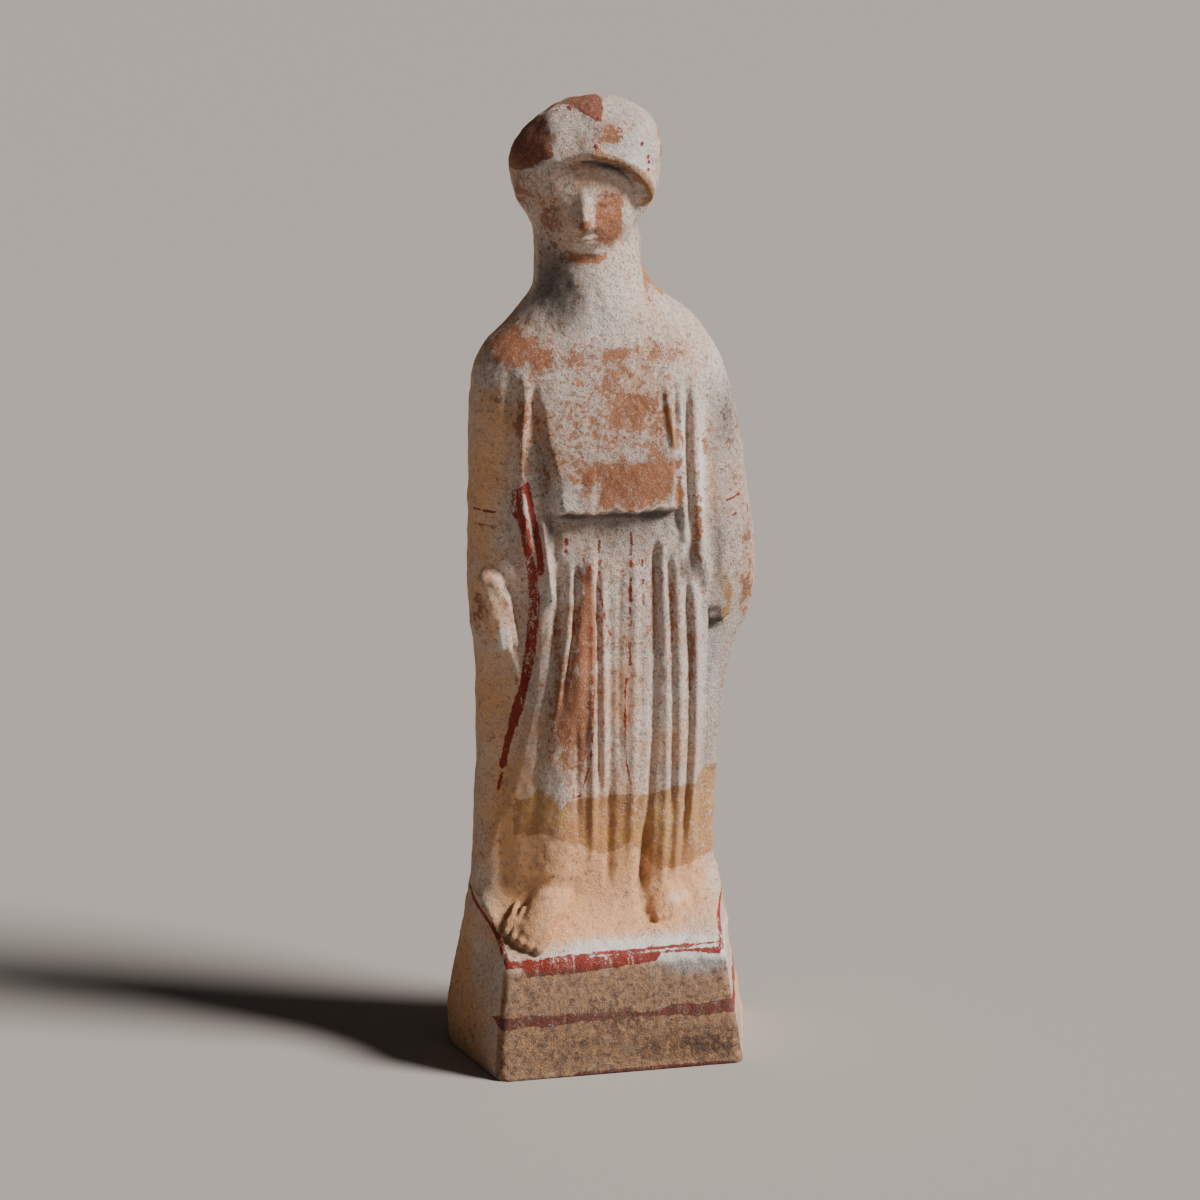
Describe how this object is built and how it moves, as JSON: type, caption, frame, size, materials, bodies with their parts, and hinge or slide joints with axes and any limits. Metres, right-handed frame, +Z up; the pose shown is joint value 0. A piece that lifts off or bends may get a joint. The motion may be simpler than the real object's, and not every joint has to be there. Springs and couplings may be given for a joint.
{
  "type": "kore statuette",
  "caption": "Moulded terracotta statuette of a standing woman in a peplos on a wedge-shaped plinth, hollow and open below.",
  "frame": {"origin": "middle of the part's box at the height of its underside", "axes": "+Z up through the head; the figure faces -Y; +X towards the figure's left hand"},
  "size_m": [0.0794, 0.0392, 0.245],
  "materials": {
    "terracotta": "matt fired clay under a worn white slip with traces of red, brown and yellow paint"
  },
  "bodies": {
    "root": {"statuette": "terracotta"}
  },
  "joints": []
}
